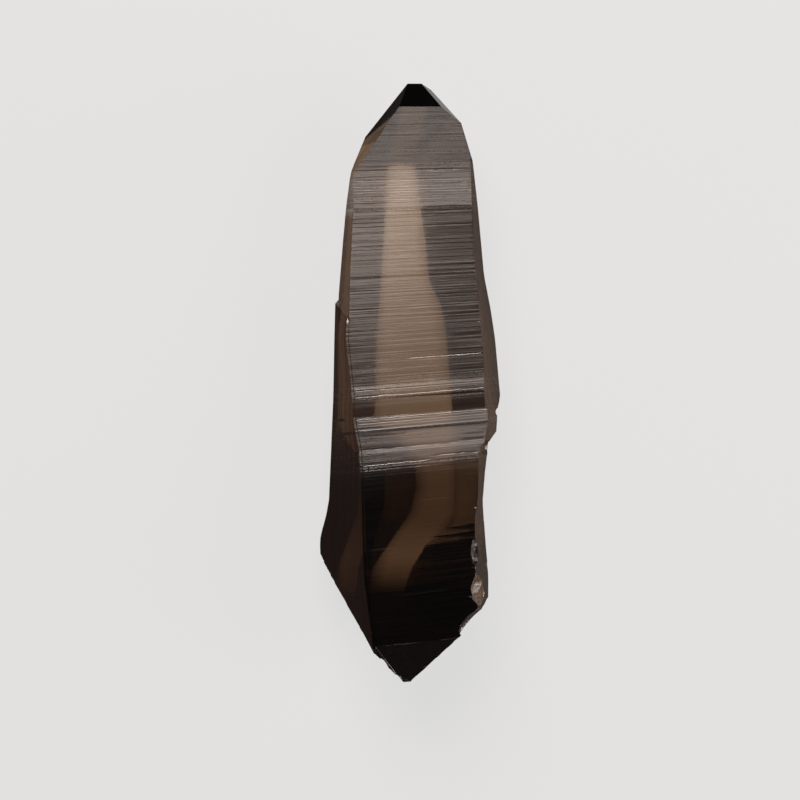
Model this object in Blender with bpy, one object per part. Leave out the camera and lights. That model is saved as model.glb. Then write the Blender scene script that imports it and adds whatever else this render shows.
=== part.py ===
"""Smoky quartz crystal, lying on its flat back prism face.

Units are metres. +Y runs along the crystal to its pointed end, and +Z is up, from
the surface that the crystal lies on to its striated front face. The body is a six
sided prism whose edges wander as a grown crystal's do. Flat planes cut its pointed
end and its broken root. A thin side crystal is grown onto its left side.
"""

import math

import bmesh
import bpy
from mathutils import Vector

MM = 0.001
SMALLEST_GAP = 1e-6

# The edges of the prism, as (distance along the crystal, sideways place) in mm.
# Along is measured from the middle of the crystal, and grows to the pointed end.
LEFT_EDGE = (
    (52.0, -5.0), (44.3, -6.0), (39.9, -7.15), (35.5, -8.8), (33.5, -9.5), (28.4, -10.2),
    (22.9, -10.7), (14.1, -11.4), (6.9, -11.6), (-6.2, -12.1), (-18.7, -12.6),
    (-24.5, -13.9), (-28.3, -13.9), (-52.0, -13.4),
)
FRONT_LEFT_EDGE = (
    (52.0, -2.0), (44.3, -2.2), (39.9, -4.6), (33.5, -9.2), (28.4, -9.0), (17.3, -9.5),
    (6.9, -9.7), (-0.5, -8.9), (-6.2, -8.5), (-10.7, -7.6), (-18.7, -7.2), (-30.4, -6.9),
    (-38.7, -5.8), (-43.2, -5.3), (-52.0, -4.8),
)
FRONT_RIGHT_EDGE = (
    (52.0, 8.2), (41.4, 8.2), (35.5, 9.7), (28.4, 9.9), (17.3, 10.5), (6.9, 11.5),
    (2.8, 11.8), (-2.7, 11.8), (-4.3, 12.3), (-6.2, 12.4), (-7.8, 12.0), (-9.2, 11.9),
    (-10.7, 10.9), (-18.7, 10.8), (-21.4, 10.3), (-28.3, 10.3), (-34.4, 10.7), (-52.0, 10.7),
)
RIGHT_EDGE = (
    (52.0, 8.5), (41.4, 8.5), (35.5, 10.1), (28.4, 10.9), (17.3, 11.9), (11.7, 13.0),
    (6.9, 13.7), (-2.2, 14.5), (-4.3, 14.0), (-7.8, 13.8), (-9.2, 12.7), (-12.8, 12.1),
    (-18.7, 11.6), (-24.5, 12.0), (-30.4, 12.5), (-52.0, 12.4),
)
BACK_LEFT_EDGE = (
    (52.0, -3.4), (35.1, -3.5), (22.9, -4.2), (11.7, -4.9), (8.0, -5.3), (-5.0, -5.6),
    (-14.0, -9.3), (-26.0, -9.3), (-34.0, -8.2), (-52.0, -8.2),
)
BACK_RIGHT_EDGE = (
    (52.0, 0.9), (35.1, 0.9), (28.4, 1.7), (22.0, 2.7), (16.0, 3.2), (12.3, 5.1),
    (7.4, 6.0), (-4.4, 6.9), (-13.9, 7.3), (-21.1, 7.2), (-23.5, 6.5), (-26.0, 2.9),
    (-30.7, 0.1), (-34.0, -1.0), (-52.0, -1.0),
)

# The front face's height over the back face, before its ledges, in mm.
FRONT_HEIGHT = (
    (52.0, 11.9), (33.5, 12.6), (28.4, 12.9), (22.9, 13.4), (6.9, 14.9), (-0.5, 15.5),
    (-12.8, 16.4), (-30.0, 17.3), (-52.0, 17.7),
)

# Growth ledges that cross the front face, as (along, rise towards the root) in mm.
LEDGES = (
    (28.0, 0.25), (-0.2, 0.25), (-2.2, 0.3), (-5.0, 0.25), (-7.2, 0.45), (-10.4, 0.25), (-13.4, 0.3),
)
LEDGE_RUN = 0.45

# The growth lines rise to the right, and more so towards the root.
LINE_SLOPE = 0.035
LINE_SLOPE_GAIN = 0.0015
LINE_SLOPE_FROM = 28.0
LEAST_LINE_SLOPE = 0.01

RING_PITCH = 1.2
SIDE_FACE_TAN = math.tan(math.radians(60.0))

# The pointed end: corners of its front faces, in mm.
APEX_LEFT = (-0.35, 48.17, 9.2)
APEX_RIGHT = (1.89, 48.17, 9.2)
APEX_LOW_RIGHT = (3.46, 47.17, 8.5)
SHOULDER_LEFT = (-1.7, 44.3, 12.15)
SHOULDER_RIGHT = (4.75, 44.5, 12.15)
FRONT_LEFT_FOOT = (-9.3, 33.5, 12.6)
FRONT_RIGHT_FOOT = (8.4, 41.4, 12.3)
LEFT_RIDGE = (-7.0, 39.9, 7.9)
BACK_TOP_LEFT = (-3.5, 35.1, 0.0)
BACK_TOP_RIGHT = (0.9, 35.1, 0.0)

# The broken root, in mm.
ROOT_TIP = (-0.6, -48.2, 16.3)
ROOT_LEFT_HIGH = (-5.4, -43.2, 19.0)
ROOT_LEFT_LOW = (-14.4, -28.6, 8.5)
ROOT_RIGHT_NORMAL = (0.714, -0.66, -0.235)
ROOT_FRONT_LEFT = (-5.4, -42.9, 19.0)
ROOT_FRONT_RIGHT = (6.4, -41.6, 19.0)
ROOT_BACK_FOOT = (0.0, -33.6, 0.0)
ROOT_BACK_NORMAL = (0.06, -0.766, -0.643)

# The side crystal: its slanting top, the run and inset of the lip there, how far it stands
# proud of the body sideways, how far its top lies under the front face, how far its hidden
# edges lie inside the body, how far it ends short of the body's root, and its outer edge as
# (along, sideways), in mm.
SIDE_TOP = 14.2
SIDE_TOP_SLANT = 2.3
SIDE_LIP_RUN = 0.7
SIDE_LIP_INSET = 0.45
SIDE_PROUD = 0.45
SIDE_SUNK = 0.25
SIDE_ROOT_SUNK = 0.15
SIDE_BACK_INSET = 0.3
SIDE_ROOTED = 1.5
SIDE_SHORT = 0.12
SIDE_EDGE = (
    (14.3, -11.5), (13.2, -11.95), (6.9, -12.1), (-2.7, -12.3), (-18.7, -13.0), (-21.4, -13.5),
    (-24.5, -14.4), (-26.0, -14.5), (-28.3, -14.4), (-52.0, -14.0),
)

# The groove between the two crystals on the back, as corners on the back face and
# along its roof, in mm.
GROOVE_RIM = (
    (-5.6, -6.7), (-1.6, -9.9), (1.1, -13.6), (1.0, -17.1), (0.3, -20.9), (-1.9, -23.7),
    (-5.2, -28.3), (-6.2, -30.4), (-8.2, -26.0), (-8.6, -19.0), (-8.2, -12.0),
)
GROOVE_ROOF = ((-3.9, -13.4, 5.2), (-4.0, -19.6, 5.8), (-5.6, -25.6, 3.4))
GROOVE_MIDDLE = (-3.6, -19.0)
GROOVE_BELOW = 1.0
GROOVE_SPREAD = 1.17

# Chips and scoops, as (centre, half sizes, turn about Z in degrees), in mm.
CHIPS = (
    ((12.3, -32.8, 19.6), (2.7, 3.2, 2.3), 12.0),
    ((11.3, -26.5, 20.0), (1.9, 3.4, 1.8), 0.0),
    ((10.2, -37.7, 19.3), (3.2, 1.3, 2.0), 42.0),
    ((-1.9, -47.4, 17.3), (1.4, 0.8, 1.3), -46.0),
    ((-4.4, -44.7, 18.2), (1.2, 0.8, 1.3), -52.0),
    ((12.6, -10.4, 17.0), (1.3, 1.4, 1.9), 20.0),
    ((14.9, -4.6, 13.0), (1.4, 0.9, 3.0), 0.0),
)


def clear_scene():
    for obj in list(bpy.data.objects):
        bpy.data.objects.remove(obj)


def quartz_material():
    material = bpy.data.materials.new("smoky quartz")
    material.use_nodes = True
    shader = material.node_tree.nodes["Principled BSDF"]
    shader.inputs["Base Color"].default_value = (0.16, 0.11, 0.08, 1.0)
    shader.inputs["Roughness"].default_value = 0.12
    shader.inputs["Metallic"].default_value = 0.0
    shader.inputs["IOR"].default_value = 1.544
    shader.inputs["Transmission Weight"].default_value = 0.6
    material.diffuse_color = (0.16, 0.11, 0.08, 1.0)
    return material


def read_curve(curve, along):
    """Sideways place or height at a distance along the crystal, from a curve from the point to the root."""
    if along >= curve[0][0]:
        return curve[0][1]
    for (upper, first), (lower, second) in zip(curve, curve[1:]):
        if along >= lower:
            share = (upper - along) / (upper - lower)
            return first + share * (second - first)
    return curve[-1][1]


def line_slope(along):
    return max(LEAST_LINE_SLOPE, LINE_SLOPE + LINE_SLOPE_GAIN * (LINE_SLOPE_FROM - along))


def front_height(along):
    rise = sum(height for place, height in LEDGES if along < place)
    return read_curve(FRONT_HEIGHT, along) + rise


def on_growth_line(curve, level):
    """(sideways, along) where the growth line of this level crosses an edge of the prism."""
    slope = line_slope(level)
    sideways = read_curve(curve, level)
    along = level + slope * sideways
    sideways = read_curve(curve, along)
    return sideways, level + slope * sideways


def ring_levels():
    """Levels of the growth lines that the body is built on: an even spread, and both rims of every ledge."""
    top, bottom = LEFT_EDGE[0][0], LEFT_EDGE[-1][0]
    count = round((top - bottom) / RING_PITCH)
    levels = [top - index * (top - bottom) / count for index in range(count + 1)]
    half = LEDGE_RUN / 2
    for place, _ in LEDGES:
        levels = [level for level in levels if abs(level - place) > LEDGE_RUN]
        levels += [place + half, place - half]
    return sorted(levels, reverse=True)


def body_ring(level):
    """Six corners of the prism on one growth line, clockwise seen from the pointed end."""
    height = front_height(level)
    left, left_along = on_growth_line(LEFT_EDGE, level)
    front_left, front_left_along = on_growth_line(FRONT_LEFT_EDGE, level)
    front_right, front_right_along = on_growth_line(FRONT_RIGHT_EDGE, level)
    right, right_along = on_growth_line(RIGHT_EDGE, level)
    back_left, back_left_along = on_growth_line(BACK_LEFT_EDGE, level)
    back_right, back_right_along = on_growth_line(BACK_RIGHT_EDGE, level)
    left_height = height - SIDE_FACE_TAN * (front_left - left)
    right_height = height - SIDE_FACE_TAN * (right - front_right)
    return (
        (front_left, front_left_along, height),
        (front_right, front_right_along, height),
        (right, right_along, right_height),
        (back_right, back_right_along, 0.0),
        (back_left, back_left_along, 0.0),
        (left, left_along, left_height),
    )


def loft(rings):
    """A closed mesh through rings of corners in mm, all with the same number of corners."""
    mesh = bmesh.new()
    loops = [[mesh.verts.new(Vector(corner) * MM) for corner in ring] for ring in rings]
    count = len(loops[0])
    for upper, lower in zip(loops, loops[1:]):
        for index in range(count):
            following = (index + 1) % count
            mesh.faces.new((upper[index], upper[following], lower[following], lower[index]))
    mesh.faces.new(loops[0])
    mesh.faces.new(list(reversed(loops[-1])))
    bmesh.ops.recalc_face_normals(mesh, faces=mesh.faces)
    return mesh


def trim(mesh, point, normal):
    """Cuts off all that lies beyond a plane, given in mm, and closes the cut with one flat face."""
    bmesh.ops.bisect_plane(
        mesh,
        geom=list(mesh.verts) + list(mesh.edges) + list(mesh.faces),
        plane_co=Vector(point) * MM,
        plane_no=Vector(normal).normalized(),
        clear_outer=True,
    )
    bmesh.ops.remove_doubles(mesh, verts=mesh.verts, dist=SMALLEST_GAP)
    bmesh.ops.dissolve_degenerate(mesh, edges=mesh.edges, dist=SMALLEST_GAP)
    rim = [edge for edge in mesh.edges if edge.is_boundary]
    bmesh.ops.holes_fill(mesh, edges=rim, sides=0)
    bmesh.ops.recalc_face_normals(mesh, faces=mesh.faces)


def plane_through(first, second, third, away_from):
    """A point and a normal of the plane through three corners, pointing away from the last point."""
    a, b, c = Vector(first), Vector(second), Vector(third)
    normal = (b - a).cross(c - a)
    if normal.dot(Vector(away_from) - a) > 0:
        normal.negate()
    return a, normal


def trim_point(mesh):
    middle = (0.0, 0.0, 8.0)
    faces = (
        (APEX_LEFT, APEX_RIGHT, SHOULDER_LEFT),
        (APEX_LEFT, SHOULDER_LEFT, FRONT_LEFT_FOOT),
        (APEX_RIGHT, SHOULDER_RIGHT, FRONT_RIGHT_FOOT),
        (APEX_LEFT, APEX_RIGHT, BACK_TOP_LEFT),
        (APEX_LEFT, LEFT_RIDGE, BACK_TOP_LEFT),
        (APEX_LOW_RIGHT, FRONT_RIGHT_FOOT, BACK_TOP_RIGHT),
    )
    for corners in faces:
        trim(mesh, *plane_through(*corners, away_from=middle))


def trim_root(mesh, short):
    """Cuts the broken root, the given number of mm short of its faces."""
    middle = (0.0, 0.0, 8.0)
    faces = (
        plane_through(ROOT_TIP, ROOT_LEFT_HIGH, ROOT_LEFT_LOW, away_from=middle),
        plane_through(ROOT_TIP, ROOT_FRONT_LEFT, ROOT_FRONT_RIGHT, away_from=middle),
        (ROOT_TIP, ROOT_RIGHT_NORMAL),
        (ROOT_BACK_FOOT, ROOT_BACK_NORMAL),
    )
    for point, normal in faces:
        outward = Vector(normal).normalized()
        trim(mesh, Vector(point) - outward * short, outward)


def side_ring(level, slant, inset):
    """Four corners of the side crystal: its front, outer and back edges, and one inside the body. The inset
    draws its outer face in, which makes the lip at its top."""
    height = front_height(level)
    outer, outer_along = on_growth_line(SIDE_EDGE, level)
    front_left, front_along = on_growth_line(FRONT_LEFT_EDGE, level)
    back_left, back_along = on_growth_line(BACK_LEFT_EDGE, level)
    outer_height = height - SIDE_FACE_TAN * (front_left - outer)
    inner = max(back_left, front_left) + SIDE_ROOTED
    drop = inset / SIDE_FACE_TAN
    return (
        (front_left - SIDE_PROUD + inset, front_along - slant, height - SIDE_SUNK - drop),
        (outer + inset, outer_along, outer_height - drop),
        (back_left + SIDE_BACK_INSET, back_along, SIDE_BACK_INSET),
        (inner, back_along - slant, height - SIDE_ROOT_SUNK - drop),
    )


def groove_corners():
    """Corners of the groove's cutter, which reaches below the back face."""
    middle = Vector(GROOVE_MIDDLE)
    low = []
    for corner in GROOVE_RIM:
        out = middle + (Vector(corner) - middle) * GROOVE_SPREAD
        low.append((out.x, out.y, -GROOVE_BELOW))
    return low + list(GROOVE_ROOF)


def add_object(name, mesh, material):
    data = bpy.data.meshes.new(name)
    mesh.to_mesh(data)
    mesh.free()
    data.materials.append(material)
    obj = bpy.data.objects.new(name, data)
    bpy.context.scene.collection.objects.link(obj)
    return obj


def make_helper(obj):
    obj.hide_render = True
    obj.display_type = "WIRE"


def combine(target, other, operation):
    make_helper(other)
    modifier = target.modifiers.new(other.name, "BOOLEAN")
    modifier.operation = operation
    modifier.solver = "EXACT"
    modifier.object = other


def build_body(material):
    mesh = loft([body_ring(level) for level in ring_levels()])
    trim_point(mesh)
    trim_root(mesh, 0.0)
    return add_object("smoky_quartz_crystal", mesh, material)


def build_side_crystal(material):
    lip_foot = SIDE_TOP - SIDE_LIP_RUN
    below_lip = [level for level in ring_levels() if level < lip_foot - SIDE_TOP_SLANT - LEDGE_RUN]
    lip = [side_ring(SIDE_TOP, SIDE_TOP_SLANT, SIDE_LIP_INSET), side_ring(lip_foot, SIDE_TOP_SLANT, 0.0)]
    mesh = loft(lip + [side_ring(level, 0.0, 0.0) for level in below_lip])
    trim_root(mesh, SIDE_SHORT)
    return add_object("side_crystal", mesh, material)


def build_groove(material):
    mesh = bmesh.new()
    for corner in groove_corners():
        mesh.verts.new(Vector(corner) * MM)
    hull = bmesh.ops.convex_hull(mesh, input=mesh.verts)
    loose = [item for item in hull["geom_interior"] if isinstance(item, bmesh.types.BMVert)]
    bmesh.ops.delete(mesh, geom=loose, context="VERTS")
    bmesh.ops.recalc_face_normals(mesh, faces=mesh.faces)
    return add_object("back_groove", mesh, material)


def build_chip(index, centre, half_sizes, turn, material):
    mesh = bmesh.new()
    bmesh.ops.create_icosphere(mesh, subdivisions=2, radius=MM)
    bmesh.ops.scale(mesh, vec=half_sizes, verts=mesh.verts)
    angle = math.radians(turn)
    for vertex in mesh.verts:
        x, y, z = vertex.co
        vertex.co.x = x * math.cos(angle) - y * math.sin(angle)
        vertex.co.y = x * math.sin(angle) + y * math.cos(angle)
        vertex.co.z = z
    bmesh.ops.translate(mesh, vec=Vector(centre) * MM, verts=mesh.verts)
    return add_object(f"chip_{index}", mesh, material)


def build_crystal():
    material = quartz_material()
    crystal = build_body(material)
    combine(crystal, build_side_crystal(material), "UNION")
    combine(crystal, build_groove(material), "DIFFERENCE")
    for index, (centre, half_sizes, turn) in enumerate(CHIPS):
        combine(crystal, build_chip(index, centre, half_sizes, turn, material), "DIFFERENCE")
    return crystal


clear_scene()
build_crystal()
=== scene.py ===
import bmesh
import bpy
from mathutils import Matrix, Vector


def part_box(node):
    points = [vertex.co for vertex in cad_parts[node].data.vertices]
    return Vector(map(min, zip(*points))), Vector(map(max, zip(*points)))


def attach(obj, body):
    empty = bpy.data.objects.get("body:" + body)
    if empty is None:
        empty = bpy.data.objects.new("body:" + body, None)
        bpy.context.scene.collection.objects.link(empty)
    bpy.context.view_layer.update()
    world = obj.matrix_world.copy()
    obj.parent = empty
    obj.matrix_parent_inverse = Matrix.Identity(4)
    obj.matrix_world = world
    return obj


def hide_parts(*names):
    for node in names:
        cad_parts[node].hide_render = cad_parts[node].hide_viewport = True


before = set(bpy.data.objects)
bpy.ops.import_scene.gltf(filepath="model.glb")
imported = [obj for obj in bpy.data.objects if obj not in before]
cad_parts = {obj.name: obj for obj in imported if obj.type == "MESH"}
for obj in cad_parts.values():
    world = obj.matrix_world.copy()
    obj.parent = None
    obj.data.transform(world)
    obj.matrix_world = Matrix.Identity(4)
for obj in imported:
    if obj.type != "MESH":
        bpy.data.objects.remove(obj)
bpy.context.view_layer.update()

# Pale table.
# A plain flat table under the crystal. It glows a little, so that the crystal is lit from behind and hardly
# casts a shadow.
TABLE_HALF_SIZE = 1.6
TABLE_DROP = 0.0003
TABLE_COLOUR = (0.06, 0.06, 0.0605, 1.0)
TABLE_GLOW = (1.0, 1.0, 1.0, 1.0)
TABLE_GLOW_STRENGTH = 0.668
SHEET_ROUGHNESS = 0.9


def rectangle(left, low, right, high):
    return (left, low), (right, low), (right, high), (left, high)


def add_flat_sheet(name, corners, height, colour, glow, glow_strength):
    """A flat sheet at a height, in metres, of a dull material with a light of its own."""
    mesh = bpy.data.meshes.new(name)
    mesh.from_pydata([(x, y, height) for x, y in corners], [], [range(len(corners))])
    sheet = bpy.data.objects.new(name, mesh)
    bpy.context.scene.collection.objects.link(sheet)
    material = bpy.data.materials.new(name)
    material.use_nodes = True
    shader = material.node_tree.nodes["Principled BSDF"]
    shader.inputs["Base Color"].default_value = colour
    shader.inputs["Roughness"].default_value = SHEET_ROUGHNESS
    shader.inputs["Specular IOR Level"].default_value = 0.0
    shader.inputs["Emission Color"].default_value = glow
    shader.inputs["Emission Strength"].default_value = glow_strength
    mesh.materials.append(material)
    return sheet


table_corners = rectangle(-TABLE_HALF_SIZE, -TABLE_HALF_SIZE, TABLE_HALF_SIZE, TABLE_HALF_SIZE)
add_flat_sheet("pale_table", table_corners, -TABLE_DROP, TABLE_COLOUR, TABLE_GLOW, TABLE_GLOW_STRENGTH)

# Glowing cards, for painted reflections.
# Thin glowing cards that lie on each other beside the crystal, and are seen only in its mirror-like side
# faces,
# where they paint reflections: dark and brown ones at the left, and lighter ones at the right. The first in
# the list lies lowest.
CARD_HEIGHT = 0.00005
CARD_LIFT = 0.00005
CARD_COLOUR = (0.02, 0.02, 0.02, 1.0)
CARD_REACH = 0.25
BESIDE_CRYSTAL = 0.0153
PAST_ROOT = -0.10
PAST_POINT = 0.12
POINT_CARDS_FROM = 0.0365
CARDS = {
    "left_card": {
        "corners": rectangle(-CARD_REACH, PAST_ROOT, -BESIDE_CRYSTAL, 0.030),
        "glow": (0.055, 0.03, 0.025, 1.0),
    },
    "point_card": {
        "corners": rectangle(-CARD_REACH, POINT_CARDS_FROM, -0.002, PAST_POINT),
        "glow": (0.02, 0.02, 0.02, 1.0),
    },
    "bronze_card": {
        "corners": (
            (-CARD_REACH, POINT_CARDS_FROM), (-0.0152, POINT_CARDS_FROM),
            (-0.0047, 0.067), (-CARD_REACH, 0.067),
        ),
        "glow": (0.49, 0.31, 0.19, 1.0),
    },
    "right_card": {
        "corners": rectangle(BESIDE_CRYSTAL, PAST_ROOT, CARD_REACH, 0.042),
        "glow": (0.28, 0.23, 0.205, 1.0),
    },
    "bright_card": {
        "corners": rectangle(0.004, 0.0445, 0.05, PAST_POINT),
        "glow": (0.72, 0.71, 0.70, 1.0),
    },
}

for index, (name, card) in enumerate(CARDS.items()):
    sheet = add_flat_sheet(
        name, card["corners"], CARD_HEIGHT + index * CARD_LIFT, CARD_COLOUR, card["glow"], glow_strength=1.0
    )
    sheet.visible_camera = False
    sheet.visible_diffuse = False
    sheet.visible_transmission = False
    sheet.visible_shadow = False

# Studio light.
# A soft box beyond the crystal's point and a little to the left, which the growth steps catch, and a small
# low one at the right, which the chips catch, in a dim room.
ROOM_LIGHT = 0.03
ROOM_COLOUR = (1.0, 0.93, 0.88, 1.0)
LIGHT_COLOUR = (1.0, 0.87, 0.80)
BOXES = {
    "point_box": {
        "place": (-0.10, 0.38, 0.50), "aim": (0.0, 0.0, 0.01), "size": (0.40, 0.42), "power": 7.5,
    },
    "chip_box": {
        "place": (0.48, -0.06, 0.24), "aim": (0.01, -0.03, 0.01), "size": (0.30, 0.42), "power": 3.6,
    },
}

world = bpy.data.worlds.new("dim studio")
world.use_nodes = True
world.node_tree.nodes["Background"].inputs["Color"].default_value = ROOM_COLOUR
world.node_tree.nodes["Background"].inputs["Strength"].default_value = ROOM_LIGHT
bpy.context.scene.world = world

for name, box in BOXES.items():
    light = bpy.data.lights.new(name, "AREA")
    light.shape = "RECTANGLE"
    light.size, light.size_y = box["size"]
    light.energy = box["power"]
    light.color = LIGHT_COLOUR
    lamp = bpy.data.objects.new(name, light)
    lamp.location = box["place"]
    direction = Vector(box["aim"]) - Vector(box["place"])
    lamp.rotation_euler = direction.to_track_quat("-Z", "Y").to_euler()
    lamp.visible_transmission = False
    bpy.context.scene.collection.objects.link(lamp)

# Camera.
# It looks straight down on the crystal's front face from about 0.6 m, with the point at the top of the
# picture. A pixel is 0.16 mm at the height of the crystal's widest edges.
FRAME_PIXELS = 800
METRES_PER_PIXEL = 0.00016
PLANE_HEIGHT = 0.012
LENS = 170.0
SENSOR = 36.0
ORIGIN_PIXEL = (409.8, 383.2)
LIGHT_BOUNCES = 24
MIRROR_BOUNCES = 16

camera_data = bpy.data.cameras.new("camera")
camera_data.lens = LENS
camera_data.sensor_width = SENSOR
camera_distance = FRAME_PIXELS * METRES_PER_PIXEL * LENS / SENSOR
camera = bpy.data.objects.new("camera", camera_data)
camera.location = (
    (FRAME_PIXELS / 2 - ORIGIN_PIXEL[0]) * METRES_PER_PIXEL,
    (ORIGIN_PIXEL[1] - FRAME_PIXELS / 2) * METRES_PER_PIXEL,
    camera_distance + PLANE_HEIGHT,
)
bpy.context.scene.collection.objects.link(camera)
bpy.context.scene.camera = camera
bpy.context.scene.view_settings.view_transform = "Standard"
bpy.context.scene.cycles.max_bounces = LIGHT_BOUNCES
bpy.context.scene.cycles.glossy_bounces = MIRROR_BOUNCES
bpy.context.scene.cycles.transmission_bounces = LIGHT_BOUNCES

# Smoky quartz crystal, its faces.
# One natural crystal with a side crystal grown onto it. Its prism faces carry fine straight growth lines
# across their width, so its surface is cut into narrow rows along those lines, which the steps then move.
CRYSTAL = "smoky_quartz_crystal"
MM = 0.001
SEAM = 1e-7

# Growth lines rise to the right, and more so towards the root: their slope at one level, what it gains for
# each mm towards the root, and that level in mm.
LINE_SLOPE = 0.035
LINE_SLOPE_GAIN = 0.0015
LINE_SLOPE_FROM = 28.0

# The rows and columns that the faces are cut into, in mm.
ROW_PITCH = 0.09
ROOT_ROW_PITCH = 0.18
ROOT_ROWS_BELOW = -34.0
ROWS_PAST_END = 2.0
COLUMN_PITCH = 0.8
ON_CUT = 1e-7

solid = bmesh.new()
solid.from_mesh(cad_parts[CRYSTAL].data)
bmesh.ops.remove_doubles(solid, verts=solid.verts, dist=SEAM)
bmesh.ops.triangulate(solid, faces=solid.faces)


def line_slope(level):
    return LINE_SLOPE + LINE_SLOPE_GAIN * (LINE_SLOPE_FROM - level)


def part_polygon(corners, sides):
    """Parts a polygon where its corners change side, into the piece below and the piece above."""
    below, above = [], []
    count = len(corners)
    for index in range(count):
        here, there = corners[index], corners[(index + 1) % count]
        side_here, side_there = sides[index], sides[(index + 1) % count]
        if side_here <= 0:
            below.append(here)
        if side_here >= 0:
            above.append(here)
        if side_here * side_there < 0:
            share = side_here / (side_here - side_there)
            cut = tuple(a + share * (b - a) for a, b in zip(here, there))
            below.append(cut)
            above.append(cut)
    return below, above


def slice_polygon(corners, levels, side_of, found):
    """Cuts a polygon at every level that crosses it, halving the list of levels each time."""
    if not levels:
        found.append(corners)
        return
    halfway = len(levels) // 2
    sides = [side_of(corner, levels[halfway]) for corner in corners]
    sides = [0.0 if abs(side) < ON_CUT else side for side in sides]
    if max(sides) <= 0:
        slice_polygon(corners, levels[:halfway], side_of, found)
    elif min(sides) >= 0:
        slice_polygon(corners, levels[halfway + 1:], side_of, found)
    else:
        below, above = part_polygon(corners, sides)
        slice_polygon(below, levels[:halfway], side_of, found)
        slice_polygon(above, levels[halfway + 1:], side_of, found)


def row_side(corner, level):
    return corner[1] - line_slope(level) * corner[0] - level


def column_side(corner, level):
    return corner[0] - level


def even_levels(low, high, pitch):
    return [low + pitch * (index + 0.5) for index in range(int((high - low) / pitch))]


# What each face is marked with: its shares of growth lines, breakage, clear middle and dullness, which its
# kind gives, and whether it looks down.
FACE_SHARES = ("grown", "broken", "clear", "dull", "under")
FACE_KINDS = {
    "point": (0.04, 0.0, 0.0, 0.0),
    "root": (0.0, 1.0, 0.0, 0.02),
    "lip": (0.0, 0.5, 0.0, 0.4),
    "front": (1.0, 0.0, 1.0, 0.0),
    "back": (0.0, 0.0, 1.0, 0.0),
    "right": (0.25, 0.3, 0.0, 0.21),
    "right in root half": (0.25, 0.5, 0.0, 0.21),
    "lower right in root half": (0.35, 0.0, 0.0, 0.85),
    "left in point half": (0.35, 0.1, 0.0, 0.45),
    "side": (0.35, 0.0, 0.0, 0.08),
    "lower side": (0.35, 0.0, 0.0, 0.0),
}

# Where each kind begins, in mm along and across the crystal, and how far its normal leans.
POINT_STARTS = 33.0
ROOT_STARTS = -28.0
ROOT_HALF_BELOW = -14.0
LEFT_SATIN_ABOVE = 11.0
LIP_LEFT_OF = -8.0
LIP_ALONG = (8.0, 16.0)
END_TILT = 0.22
FRONT_LOOKS_UP = 0.8
LOOKS_SIDEWAYS = 0.4
UNDER_LOOKS_UP = -0.3

# Where the crystal is chipped, as (across, along, reach) in mm, and how pale and dull the chip is. The flat
# prism faces beside a chip, which look halfway up and hardly turn along the crystal, stay whole.
CHIPPED = (
    (12.3, -32.8, 3.3, 0.55), (11.3, -26.5, 3.3, 0.12), (10.2, -37.7, 3.0, 0.2), (-1.9, -47.4, 1.7, 0.2),
    (-4.4, -44.7, 1.5, 0.2), (12.6, -10.4, 1.8, 0.15), (14.9, -4.6, 2.0, 0.15),
)
CHIP_BREAKAGE = 0.6
CHIP_LOOKS_UP = (0.05, 0.97)
PRISM_LOOKS_UP = 0.5
PRISM_SPREAD = 0.07
PRISM_TURN = 0.15


def chip_paleness(middle, normal):
    """How pale the chip that a face belongs to is, or None for a face that isn't chipped."""
    on_prism = abs(normal.z - PRISM_LOOKS_UP) < PRISM_SPREAD and abs(normal.y) < PRISM_TURN
    if on_prism or not CHIP_LOOKS_UP[0] < normal.z < CHIP_LOOKS_UP[1]:
        return None
    for x, y, reach, paleness in CHIPPED:
        if (middle.x - x) ** 2 + (middle.y - y) ** 2 < reach ** 2:
            return paleness
    return None


def kind_of_face(middle, normal):
    """The kind of a face that isn't chipped, from its middle in mm and its normal."""
    looks_down = normal.z < UNDER_LOOKS_UP
    in_root_half = middle.y < ROOT_HALF_BELOW
    on_lip = middle.x < LIP_LEFT_OF and LIP_ALONG[0] < middle.y < LIP_ALONG[1]
    if middle.y > POINT_STARTS and normal.y > END_TILT:
        return "point"
    if middle.y < ROOT_STARTS and normal.y < -END_TILT:
        return "root"
    if on_lip and normal.y > END_TILT and not looks_down:
        return "lip"
    if abs(normal.z) > FRONT_LOOKS_UP:
        return "back" if looks_down else "front"
    if normal.x > LOOKS_SIDEWAYS and looks_down and in_root_half:
        return "lower right in root half"
    if normal.x > LOOKS_SIDEWAYS and not looks_down:
        return "right in root half" if in_root_half else "right"
    if normal.x < -LOOKS_SIDEWAYS and middle.y > LEFT_SATIN_ABOVE and not looks_down:
        return "left in point half"
    return "lower side" if looks_down else "side"


def face_shares(face):
    """The shares of a face in the order of FACE_SHARES."""
    middle = face.calc_center_median() / MM
    paleness = chip_paleness(middle, face.normal)
    under = 1.0 if face.normal.z < UNDER_LOOKS_UP else 0.0
    if paleness is not None:
        return 0.0, CHIP_BREAKAGE, 0.0, paleness, under
    return (*FACE_KINDS[kind_of_face(middle, face.normal)], under)


low, high = (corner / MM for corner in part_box(CRYSTAL))
row_levels = even_levels(low.y - ROWS_PAST_END, ROOT_ROWS_BELOW, ROOT_ROW_PITCH)
row_levels += even_levels(ROOT_ROWS_BELOW, high.y + ROWS_PAST_END, ROW_PITCH)
column_levels = even_levels(low.x, high.x, COLUMN_PITCH)
corners_found, polygons, shares_found = [], [], []
for face in solid.faces:
    rows, pieces = [], []
    slice_polygon([tuple(vertex.co / MM) for vertex in face.verts], row_levels, row_side, rows)
    for row in rows:
        slice_polygon(row, column_levels, column_side, pieces)
    shares = face_shares(face)
    for piece in pieces:
        first = len(corners_found)
        corners_found.extend(piece)
        polygons.append(range(first, first + len(piece)))
        shares_found.append(shares)
solid.free()

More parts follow.
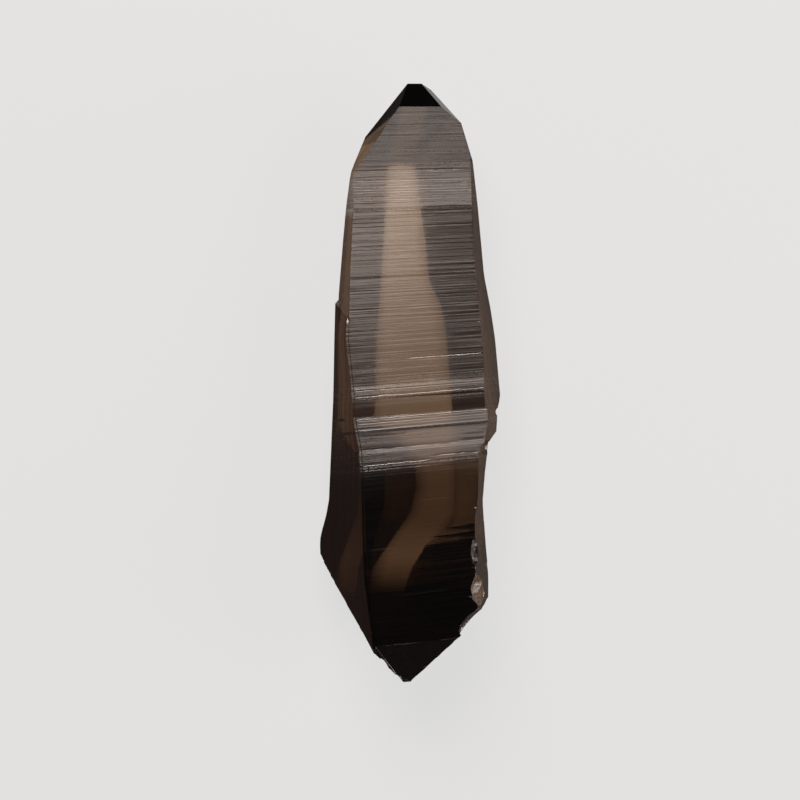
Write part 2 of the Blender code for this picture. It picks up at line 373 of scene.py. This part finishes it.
sliced_mesh = bpy.data.meshes.new("sliced crystal")
sliced_mesh.from_pydata([Vector(corner) * MM for corner in corners_found], [], polygons)
for name, values in zip(FACE_SHARES, zip(*shares_found)):
    sliced_mesh.attributes.new(name, "FLOAT", "FACE").data.foreach_set("value", values)
sliced = bmesh.new()
sliced.from_mesh(sliced_mesh)
bmesh.ops.remove_doubles(sliced, verts=sliced.verts, dist=SEAM)
bmesh.ops.dissolve_degenerate(sliced, edges=sliced.edges, dist=SEAM)
sliced.to_mesh(sliced_mesh)
sliced.free()
blank = bpy.data.objects.new("sliced crystal", sliced_mesh)
bpy.context.scene.collection.objects.link(blank)

# Smoky quartz crystal, its growth steps.
# Each line is a small step where the face grew in layers: a tread that leans in slowly, then a riser. Broken
# faces are lumpy instead, and the crystal's edges stay whole.
STEP_INPUTS = {
    "Wide pitch": 0.95, "Wide depth": 0.09, "Middle pitch": 0.38, "Middle depth": 0.05,
    "Fine pitch": 0.21, "Fine depth": 0.016, "Break size": 1.6, "Break depth": 0.25,
    "Edge reach": 0.3, "Edge angle": 0.62, "Seed": 7.0,
}

# The bands along the crystal, as (along in mm, and the strength there of its wide steps, middle steps, fine
# steps, satin at the left edge, satin at the right edge, fine lines in the satin, bright dotted lines).
WIDE_STEPS, MIDDLE_STEPS, FINE_STEPS, LEFT_SATIN, RIGHT_SATIN, SATIN_LINES, SATIN_DOTS = range(1, 8)
BANDS = (
    (48.0, 0.05, 0.03, 0.20, 0.36, 0.34, 0.20, 0.0),
    (34.5, 0.06, 0.05, 0.25, 0.38, 0.34, 0.30, 0.2),
    (33.9, 0.06, 0.25, 0.60, 0.38, 0.42, 0.50, 1.0),
    (28.4, 0.06, 0.20, 0.60, 0.40, 0.45, 0.50, 0.9),
    (27.9, 0.05, 0.02, 0.12, 0.32, 0.17, 0.85, 0.0),
    (20.0, 0.04, 0.02, 0.12, 0.34, 0.20, 0.85, 0.0),
    (8.0, 0.04, 0.02, 0.12, 0.31, 0.23, 0.85, 0.0),
    (0.7, 0.05, 0.04, 0.20, 0.30, 0.24, 0.80, 0.1),
    (0.1, 0.08, 0.15, 0.5, 0.32, 0.42, 0.60, 1.0),
    (-1.6, 0.08, 0.15, 0.5, 0.32, 0.38, 0.60, 1.0),
    (-2.0, 0.06, 0.05, 0.4, 0.26, 0.24, 0.50, 0.3),
    (-2.9, 0.06, 0.03, 0.3, 0.25, 0.22, 0.40, 0.1),
    (-3.3, 0.0, 0.03, 0.15, 0.14, 0.11, 0.30, 0.0),
    (-5.0, 0.0, 0.03, 0.15, 0.14, 0.11, 0.30, 0.0),
    (-5.4, 0.08, 0.2, 0.5, 0.38, 0.64, 0.60, 1.0),
    (-7.2, 0.08, 0.2, 0.5, 0.37, 0.66, 0.60, 1.0),
    (-9.0, 0.08, 0.1, 0.4, 0.32, 0.60, 0.50, 0.5),
    (-12.0, 0.08, 0.1, 0.4, 0.28, 0.46, 0.60, 0.9),
    (-13.2, 0.06, 0.05, 0.4, 0.18, 0.16, 0.80, 0.5),
    (-14.5, 0.05, 0.02, 0.3, 0.08, 0.05, 0.95, 0.0),
    (-18.0, 0.05, 0.02, 0.3, 0.035, 0.035, 1.0, 0.0),
    (-48.0, 0.05, 0.02, 0.3, 0.025, 0.025, 0.90, 0.0),
)
BAND_REACH = 50.0

# The families of steps, as (name, column of BANDS, how many pitches its steps drift, how far its patches run
# in mm, whether its risers face the point), and how their drift and patches change along the crystal.
STEP_FAMILIES = (
    ("Wide", WIDE_STEPS, 2.5, 9.0, False), ("Middle", MIDDLE_STEPS, 3.0, 3.0, True),
    ("Fine", FINE_STEPS, 3.0, 2.0, False),
)
DRIFT_PER_STEP = 0.37
PATCHES_PER_MM = 2.4
PATCH_CONTRAST = 2.4
PATCH_OFFSET = -0.5
PATCH_SEED = 4.0
LUMP_DETAIL = 4.0

# The larger ledges, as (level, from, to, drop) in mm, across the crystal.
LEDGES = (
    (4.0, -0.5, 12.0, 0.012), (-0.1, 3.5, 12.2, 0.038), (-0.1, -9.2, 3.5, 0.022),
    (-0.7, -9.2, 12.2, 0.036), (-1.65, -9.2, 12.2, 0.028), (-5.5, -9.2, 12.6, 0.022),
    (-5.9, -9.2, 12.6, 0.03), (-6.9, -9.2, 12.6, 0.045), (-9.0, 8.2, 12.6, 0.04),
    (-9.95, 8.0, 12.6, 0.035), (-10.1, -8.2, 7.8, 0.036), (-11.9, 3.4, 11.0, 0.045),
    (-12.45, -7.6, 3.6, 0.03), (-13.4, -7.6, 5.3, 0.026),
)
LEDGE_TREAD = 0.4
LEDGE_END = 0.7
LEDGE_SWAY = 0.16
LEDGE_SWAY_RUN = 1.6
LEDGE_SEED = 30.0

steps = bpy.data.node_groups.new("growth steps", "GeometryNodeTree")
steps.interface.new_socket("Geometry", in_out="INPUT", socket_type="NodeSocketGeometry")
for name, value in STEP_INPUTS.items():
    steps.interface.new_socket(name, in_out="INPUT", socket_type="NodeSocketFloat").default_value = value
steps.interface.new_socket("Material", in_out="INPUT", socket_type="NodeSocketMaterial")
steps.interface.new_socket("Geometry", in_out="OUTPUT", socket_type="NodeSocketGeometry")
sizes = steps.nodes.new("NodeGroupInput")
result = steps.nodes.new("NodeGroupOutput")


def feed(tree, socket, value):
    """Sets a socket to a number, or links another node's output to it."""
    if isinstance(value, (int, float)):
        socket.default_value = value
    else:
        tree.links.new(value, socket)


def calculate(tree, operation, first, second=0.0, third=0.0):
    """One Math node of a node tree, whose inputs are numbers or other nodes' outputs."""
    node = tree.nodes.new("ShaderNodeMath")
    node.operation = operation
    for socket, value in zip(node.inputs, (first, second, third)):
        feed(tree, socket, value)
    return node.outputs[0]


def product(tree, first, *others):
    """Numbers or other nodes' outputs, multiplied in their order."""
    for other in others:
        first = calculate(tree, "MULTIPLY", first, other)
    return first


def multiply_add(tree, value, factor, added):
    return calculate(tree, "MULTIPLY_ADD", value, factor, added)


def clamped(output):
    output.node.use_clamp = True
    return output


def combine_xyz(tree, x, y, z):
    node = tree.nodes.new("ShaderNodeCombineXYZ")
    for socket, value in zip(node.inputs, (x, y, z)):
        feed(tree, socket, value)
    return node.outputs[0]


def scaled(tree, vector, factor):
    node = tree.nodes.new("ShaderNodeVectorMath")
    node.operation = "SCALE"
    tree.links.new(vector, node.inputs[0])
    feed(tree, node.inputs["Scale"], factor)
    return node.outputs[0]


def noise_of(tree, vector, detail=2.0):
    """A noise texture's value, from 0 to 1, at a place that already has its scale."""
    node = tree.nodes.new("ShaderNodeTexNoise")
    node.inputs["Scale"].default_value = 1.0
    node.inputs["Detail"].default_value = detail
    tree.links.new(vector, node.inputs["Vector"])
    return node.outputs[0]


def level_in(tree, position):
    """(across, along, growth level, height) in mm of a place in metres. A growth line's level is where it
    crosses the crystal's middle."""
    parts = tree.nodes.new("ShaderNodeSeparateXYZ")
    tree.links.new(position, parts.inputs[0])
    x, y, z = (calculate(tree, "DIVIDE", output, MM) for output in parts.outputs)
    rise = product(tree, x, line_slope(0.0))
    spread = calculate(tree, "SUBTRACT", 1.0, product(tree, x, LINE_SLOPE_GAIN))
    level = calculate(tree, "DIVIDE", calculate(tree, "SUBTRACT", y, rise), spread)
    return x, y, level, z


def along_curve(tree, along, table, column):
    """One column of a table as a curve along the crystal, whose values are from 0 to 1."""
    place = multiply_add(tree, along, 0.5 / BAND_REACH, 0.5)
    node = tree.nodes.new("ShaderNodeFloatCurve")
    curve = node.mapping.curves[0]
    ends = [((row[0] / BAND_REACH + 1) / 2, row[column]) for row in sorted(table)]
    curve.points[0].location = (0.0, ends[0][1])
    curve.points[1].location = (1.0, ends[-1][1])
    for reach, strength in ends:
        curve.points.new(reach, strength).handle_type = "VECTOR"
    node.mapping.update()
    tree.links.new(place, node.inputs["Value"])
    return node.outputs[0]


def end_fades(tree, across, start, end, run):
    """Two shares that fall to 0 at a line's start and at its end, over a run in mm."""
    from_start = clamped(multiply_add(tree, across, 1.0 / run, -start / run))
    from_end = clamped(multiply_add(tree, across, -1.0 / run, end / run))
    return from_start, from_end


position = steps.nodes.new("GeometryNodeInputPosition").outputs[0]
normal = steps.nodes.new("GeometryNodeInputNormal").outputs[0]
across, along, level, upward = level_in(steps, position)


def saw_steps(family, column, drift, run, faces_point):
    """Depth in mm of one family of steps."""
    turns = calculate(steps, "DIVIDE", level, sizes.outputs[family + " pitch"])
    drift_place = combine_xyz(steps, product(steps, turns, DRIFT_PER_STEP), sizes.outputs["Seed"], column)
    phase = calculate(steps, "FRACT", multiply_add(steps, noise_of(steps, drift_place), drift, turns))
    if faces_point:
        phase = calculate(steps, "SUBTRACT", 1.0, phase)
    stretched = calculate(steps, "DIVIDE", across, run)
    patch_place = combine_xyz(steps, stretched, product(steps, level, PATCHES_PER_MM), column + PATCH_SEED)
    patch = clamped(multiply_add(steps, noise_of(steps, patch_place), PATCH_CONTRAST, PATCH_OFFSET))
    strength = product(steps, along_curve(steps, level, BANDS, column), patch)
    return product(steps, phase, sizes.outputs[family + " depth"], strength)


def ledge_depth(ledge_level, start, end, drop):
    """Depth in mm of one ledge, whose tread leans in up to its riser."""
    stretched = calculate(steps, "DIVIDE", across, LEDGE_SWAY_RUN)
    sway_place = combine_xyz(steps, stretched, ledge_level, LEDGE_SEED)
    swaying = multiply_add(steps, noise_of(steps, sway_place), LEDGE_SWAY, level)
    beyond = calculate(steps, "SUBTRACT", swaying, ledge_level + LEDGE_SWAY / 2)
    share = clamped(multiply_add(steps, beyond, -1.0 / LEDGE_TREAD, 1.0))
    is_beyond = calculate(steps, "GREATER_THAN", beyond, 0.0)
    return product(steps, share, is_beyond, *end_fades(steps, across, start, end, LEDGE_END), drop)


stepped = 0.0
for family in STEP_FAMILIES:
    stepped = calculate(steps, "ADD", stepped, saw_steps(*family))
for ledge in LEDGES:
    stepped = calculate(steps, "ADD", stepped, ledge_depth(*ledge))

edge_turn = steps.nodes.new("GeometryNodeInputMeshEdgeAngle").outputs["Unsigned Angle"]
is_edge = calculate(steps, "GREATER_THAN", edge_turn, sizes.outputs["Edge angle"])
edges = steps.nodes.new("GeometryNodeSeparateGeometry")
edges.domain = "EDGE"
steps.links.new(sizes.outputs["Geometry"], edges.inputs["Geometry"])
steps.links.new(is_edge, edges.inputs["Selection"])
nearest = steps.nodes.new("GeometryNodeProximity")
nearest.target_element = "EDGES"
steps.links.new(edges.outputs[0], nearest.inputs[0])
edge_distance = calculate(steps, "DIVIDE", nearest.outputs["Distance"], MM)
inside_edges = clamped(calculate(steps, "DIVIDE", edge_distance, sizes.outputs["Edge reach"]))


def face_share_in_steps(name):
    node = steps.nodes.new("GeometryNodeInputNamedAttribute")
    node.data_type = "FLOAT"
    node.inputs["Name"].default_value = name
    return node.outputs["Attribute"]


break_size = sizes.outputs["Break size"]
lump_place = combine_xyz(
    steps, *(calculate(steps, "DIVIDE", place, break_size) for place in (across, level, upward))
)
lumps = product(steps, noise_of(steps, lump_place, LUMP_DETAIL), sizes.outputs["Break depth"])
grown_depth = product(steps, stepped, face_share_in_steps("grown"), inside_edges)
broken_depth = product(steps, lumps, face_share_in_steps("broken"))
depth = calculate(steps, "ADD", grown_depth, broken_depth)
move = steps.nodes.new("GeometryNodeSetPosition")
steps.links.new(sizes.outputs["Geometry"], move.inputs["Geometry"])
steps.links.new(scaled(steps, normal, product(steps, depth, -MM)), move.inputs["Offset"])
realize = steps.nodes.new("GeometryNodeRealizeInstances")
steps.links.new(move.outputs[0], realize.inputs[0])
finish = steps.nodes.new("GeometryNodeSetMaterial")
steps.links.new(realize.outputs[0], finish.inputs["Geometry"])
steps.links.new(sizes.outputs["Material"], finish.inputs["Material"])
steps.links.new(finish.outputs[0], result.inputs[0])

# Smoky quartz crystal, its polish and satin.
# Its growth faces are as smooth as glass, with a satin skin where the finest growth lines are packed, and its
# root is dull where it broke. The skin is a coat whose share follows the lines.
QUARTZ_IOR = 1.544
SATIN_ROUGHNESS = 0.5
POLISH_ROUGHNESS = 0.04
STEPPED_ROUGHNESS = 0.7
BROKEN_ROUGHNESS = 0.30
HIDDEN_ROUGHNESS = 0.35

# The lines and patches in the satin, as (run across in mm, pitch along in mm, seed, detail, contrast,
# middle). The contrast spreads a noise's value out around its middle.
SATIN_NOISES = {
    "grain": (60.0, 0.22, 1.0, 2.0, 3.0, 0.5),
    "grain patches": (4.0, 0.8, 41.0, 1.0, 3.0, 0.45),
    "dark lines": (45.0, 0.42, 5.0, 1.0, 14.0, 0.68),
    "bright lines": (45.0, 0.42, 15.0, 1.0, 10.0, 0.58),
    "dots": (0.45, 0.14, 25.0, 1.0, 6.0, 0.5),
    "satin patches": (6.0, 1.2, 9.0, 2.0, 1.0, 0.5),
}
SATIN_SPREAD = 14.0
GRAIN_PATCHINESS = 0.6
SATIN_PATCHINESS = 0.4
DOT_SATIN = 1.3
DARK_SATIN = 0.7

# Single lines, as (level, from, to) in mm and a share: dark ones, which are painted shadows of the steps, or
# light ones where the share is below 0.
SINGLE_LINES = (
    (34.0, 3.0, 11.0, 0.7), (23.9, 2.7, 10.8, 0.6), (22.15, 2.7, 10.8, 0.9), (17.1, -10.0, 11.0, 0.9),
    (10.35, 5.5, 11.5, 0.7), (7.25, 6.3, 11.6, 0.9), (7.1, -10.0, -5.0, 0.7), (3.7, -9.6, -5.2, 0.7),
    (-7.85, -8.2, 0.2, 1.0), (-9.5, 7.6, 12.6, 0.9), (-12.9, 6.4, 11.0, 0.9), (-18.7, 0.9, 6.6, -0.5),
    (-25.75, -7.0, -2.0, -0.6), (-29.1, 0.3, 5.2, 0.9), (-33.4, -2.0, 6.5, -0.4),
)
LINE_HALF_WIDTH = 0.13
LINE_END = 1.2
LIGHT_SATIN = 0.3

quartz = bpy.data.materials.new("smoky quartz")
quartz.use_nodes = True
look = quartz.node_tree
shader = look.nodes["Principled BSDF"]
shader.inputs["IOR"].default_value = QUARTZ_IOR
shader.inputs["Coat Roughness"].default_value = SATIN_ROUGHNESS
place = look.nodes.new("ShaderNodeTexCoord").outputs["Object"]
look_across, look_along, look_level, look_upward = level_in(look, place)


def face_share_in_look(name):
    node = look.nodes.new("ShaderNodeAttribute")
    node.attribute_name = name
    return node.outputs["Fac"]


def mix_numbers(share, first, second):
    """A number between two, by a share."""
    return multiply_add(look, share, calculate(look, "SUBTRACT", second, first), first)


def all_but(share):
    return calculate(look, "SUBTRACT", 1.0, share)


def less(share, loss):
    """1 where a share is 0, and less by the loss where it is 1."""
    return multiply_add(look, share, -loss, 1.0)


def sharpened(value, contrast, middle):
    """A noise's value spread out around its middle, from 0 to 1."""
    return clamped(multiply_add(look, value, contrast, 0.5 - contrast * middle))


def line_noise(name):
    """One of the noises in the satin, drawn out along the growth lines, from 0 to 1."""
    run, pitch, seed, detail, contrast, middle = SATIN_NOISES[name]
    stretched = calculate(look, "DIVIDE", look_across, run)
    squeezed = calculate(look, "DIVIDE", look_level, pitch)
    return sharpened(noise_of(look, combine_xyz(look, stretched, squeezed, seed), detail), contrast, middle)


def single_line(line_level, start, end):
    """1 on a line that runs across the crystal between two places in mm, 0 away from it."""
    away = calculate(look, "ABSOLUTE", calculate(look, "SUBTRACT", look_level, line_level))
    share = clamped(multiply_add(look, away, -1.0 / LINE_HALF_WIDTH, 1.0))
    return product(look, share, product(look, *end_fades(look, look_across, start, end, LINE_END)))


grown, broken, clear, dull, under = (face_share_in_look(name) for name in FACE_SHARES)

# The grain swings the satin up and down, and is weaker in patches, as the darker lines are.
grain_patches = multiply_add(look, line_noise("grain patches"), GRAIN_PATCHINESS, 1.0 - GRAIN_PATCHINESS)
grain_strength = product(look, along_curve(look, look_level, BANDS, SATIN_LINES), grain_patches)
swing = product(look, grain_strength, multiply_add(look, line_noise("grain"), 2.0, -1.0))
dark_lines = product(look, line_noise("dark lines"), grain_strength)
dots = product(
    look, line_noise("dots"), line_noise("bright lines"), along_curve(look, look_level, BANDS, SATIN_DOTS)
)
# The single dark lines are painted shadows of the steps, which dim both the satin and the clearness.
painted_shadow_lines, light_singles = 0.0, 0.0
for line_level, start, end, share in SINGLE_LINES:
    line = single_line(line_level, start, end)
    if share > 0:
        painted_shadow_lines = multiply_add(look, line, share, painted_shadow_lines)
    else:
        light_singles = multiply_add(look, line, -share, light_singles)

left_satin = along_curve(look, look_level, BANDS, LEFT_SATIN)
right_satin = along_curve(look, look_level, BANDS, RIGHT_SATIN)
rightness = clamped(multiply_add(look, look_across, 1.0 / SATIN_SPREAD, 0.5))
satin_patches = multiply_add(look, line_noise("satin patches"), SATIN_PATCHINESS, 1.0 - SATIN_PATCHINESS / 2)
satin = mix_numbers(rightness, left_satin, right_satin)
satin = product(look, satin, satin_patches, calculate(look, "ADD", swing, 1.0), less(dark_lines, DARK_SATIN))
satin = multiply_add(look, dots, DOT_SATIN, satin)
satin = multiply_add(look, light_singles, LIGHT_SATIN, satin)
satin = clamped(product(look, satin, less(painted_shadow_lines, DARK_SATIN), grown))
look.links.new(satin, shader.inputs["Coat Weight"])

below_point = calculate(look, "LESS_THAN", look_along, POINT_STARTS)
hidden_sides = product(look, under, all_but(clear), below_point)
roughness = multiply_add(look, satin, STEPPED_ROUGHNESS, POLISH_ROUGHNESS)
roughness = multiply_add(look, broken, BROKEN_ROUGHNESS, roughness)
roughness = multiply_add(look, hidden_sides, HIDDEN_ROUGHNESS, roughness)
look.links.new(roughness, shader.inputs["Roughness"])

# Smoky quartz crystal, its smoke and painted shade.
# Brown smoke fills the quartz, as plain absorption. The surface's colour lets less light through towards the
# root, and, as painted shade, near the sides, more so at the right, and in dark zones at the back.
SMOKE_COLOUR = (0.5, 0.3, 0.08, 1.0)
SMOKE_PER_METRE = 145.0
GREEN_POWER = 1.14
BLUE_POWER = 1.26

# How much light the surface lets through, as (along in mm, in the clear middle, at the sides, in the dark
# zones of the back). The dim sides and the dark zones are painted shade; the middle grows darker towards the
# root.
IN_MIDDLE, AT_SIDES, IN_DARK_ZONES = range(1, 4)
CLEARNESS = (
    (48.0, 0.90, 0.10, 0.010), (24.0, 0.93, 0.10, 0.015), (8.5, 0.61, 0.10, 0.025),
    (0.0, 0.58, 0.09, 0.030), (-3.0, 0.62, 0.08, 0.050), (-6.0, 0.57, 0.06, 0.050),
    (-10.0, 0.52, 0.04, 0.010), (-15.0, 0.28, 0.015, 0.001), (-22.0, 0.25, 0.012, 0.001),
    (-27.5, 0.42, 0.012, 0.001), (-30.0, 0.30, 0.012, 0.001), (-32.0, 0.12, 0.012, 0.001),
    (-33.3, 0.02, 0.012, 0.001), (-48.0, 0.02, 0.01, 0.001),
)

# The clear middle of the back, as (along, its left edge, its right edge) in mm, how far from the crystal's
# middle an edge can lie, and how softly it ends.
LEFT_EDGE, RIGHT_EDGE = range(1, 3)
CLEAR_MIDDLE = (
    (48.0, 0.0, -6.0), (36.2, 0.0, -6.0), (34.9, -3.5, 0.8), (28.0, -4.3, 1.8), (18.0, -4.6, 2.4),
    (10.0, -4.9, 4.9), (0.0, -5.6, 6.2), (-6.0, -5.4, 7.6), (-9.0, -5.0, 7.4), (-10.5, -1.0, 7.2),
    (-14.0, 1.6, 7.2), (-17.0, 2.2, 7.2), (-21.4, 0.8, 7.0), (-24.6, -2.1, 4.8), (-27.8, -4.2, 3.0),
    (-31.0, -5.0, 0.8), (-34.0, -5.6, -0.6), (-37.5, -5.6, -3.6), (-48.0, -5.6, -5.6),
)
MIDDLE_REACH = 10.0
MIDDLE_SOFTNESS = 1.2

# How much the right side and the lines dim the crystal, where the right side and the single dark lines are
# painted shade, the streaks in its sides, and the mottles on its dull faces.
RIGHT_SHADE = 0.5
LINE_SHADE = 0.17
DARK_SHADE = 0.34
SINGLE_SHADE = 0.3
STREAK_WIDTH = 0.5
STREAK_LENGTH = 25.0
STREAK_CONTRAST = 4.0
STREAK_CLEARNESS = (0.25, 1.3)
MOTTLE_SCALE = 3.2
MOTTLE_LENGTHENING = 0.6
MOTTLE_CONTRAST = 2.0
MOTTLE_LEAST = 0.5
FINE_DETAIL = 3.0
DULL_CLEARNESS = 0.11
DULL_REACH = 2.0

smoke = look.nodes.new("ShaderNodeVolumeAbsorption")
smoke.inputs["Color"].default_value = SMOKE_COLOUR
smoke.inputs["Density"].default_value = SMOKE_PER_METRE
look.links.new(smoke.outputs[0], look.nodes["Material Output"].inputs["Volume"])


def middle_edge(column):
    """Where the clear middle ends, in mm sideways."""
    shares = [(row[0], *(0.5 + edge / (2 * MIDDLE_REACH) for edge in row[1:])) for row in CLEAR_MIDDLE]
    return multiply_add(look, along_curve(look, look_along, shares, column), 2 * MIDDLE_REACH, -MIDDLE_REACH)


def soft_side(distance):
    """0 well outside an edge, 1 well inside, from the distance inside it in mm."""
    return clamped(multiply_add(look, distance, 0.5 / MIDDLE_SOFTNESS, 0.5))


def smoky(clearness):
    """The surface colour for a clearness, which carries smoke and painted shade alike: the darker, the
    browner.
    """
    node = look.nodes.new("ShaderNodeCombineColor")
    for socket, power in zip(node.inputs, (1.0, GREEN_POWER, BLUE_POWER)):
        look.links.new(calculate(look, "POWER", clearness, power), socket)
    return node.outputs[0]


# Outside the clear middle, the faces that look down are painted dark as shade.
right_of_left = soft_side(calculate(look, "SUBTRACT", look_across, middle_edge(LEFT_EDGE)))
left_of_right = soft_side(calculate(look, "SUBTRACT", middle_edge(RIGHT_EDGE), look_across))
painted_shade_zones = product(look, all_but(product(look, right_of_left, left_of_right)), under)

streak_place = combine_xyz(
    look, 0.0, calculate(look, "DIVIDE", look_along, STREAK_LENGTH),
    calculate(look, "DIVIDE", look_upward, STREAK_WIDTH)
)
streaks = sharpened(noise_of(look, streak_place, FINE_DETAIL), STREAK_CONTRAST, 0.5)
# The sides are painted darker as shade, the right side more so.
side_clearness = product(
    look,
    along_curve(look, look_along, CLEARNESS, AT_SIDES),
    multiply_add(look, streaks, STREAK_CLEARNESS[1], STREAK_CLEARNESS[0]),
    less(rightness, RIGHT_SHADE),
)
clearness = mix_numbers(clear, side_clearness, along_curve(look, look_along, CLEARNESS, IN_MIDDLE))
clearness = mix_numbers(painted_shade_zones, clearness, along_curve(look, look_along, CLEARNESS, IN_DARK_ZONES))
line_shade = product(
    look,
    multiply_add(look, swing, LINE_SHADE, 1.0),
    less(dark_lines, DARK_SHADE),
    less(painted_shadow_lines, SINGLE_SHADE),
)
clearness = product(look, clearness, mix_numbers(clear, 1.0, line_shade))

mottle_place = combine_xyz(look, look_across, product(look, look_along, MOTTLE_LENGTHENING), look_upward)
mottle_noise = noise_of(look, scaled(look, mottle_place, MOTTLE_SCALE), FINE_DETAIL)
mottles = sharpened(mottle_noise, MOTTLE_CONTRAST, 0.5)
dull_share = clamped(product(look, dull, calculate(look, "ADD", mottles, MOTTLE_LEAST)))
dull_outside = clamped(product(look, product(look, dull_share, all_but(under)), DULL_REACH))
clearness = mix_numbers(dull_outside, clearness, DULL_CLEARNESS)
look.links.new(all_but(dull_share), shader.inputs["Transmission Weight"])
look.links.new(smoky(clearness), shader.inputs["Base Color"])

# Smoky quartz crystal, made whole.
# The steps move its sliced surface, and the outcome stands for the whole crystal, side crystal included.
# Its facets stay flat, because each one is a real face or a real step.
grow = blank.modifiers.new("growth steps", "NODES")
grow.node_group = steps
for socket in steps.interface.items_tree:
    if socket.in_out == "INPUT" and socket.name == "Material":
        grow[socket.identifier] = quartz
graph = bpy.context.evaluated_depsgraph_get()
crystal_mesh = bpy.data.meshes.new_from_object(blank.evaluated_get(graph))
crystal_mesh.name = "crystal"
crystal = bpy.data.objects.new("crystal", crystal_mesh)
bpy.context.scene.collection.objects.link(crystal)
bpy.data.objects.remove(blank)
crystal_mesh.shade_flat()
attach(crystal, "root")
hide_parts(CRYSTAL)
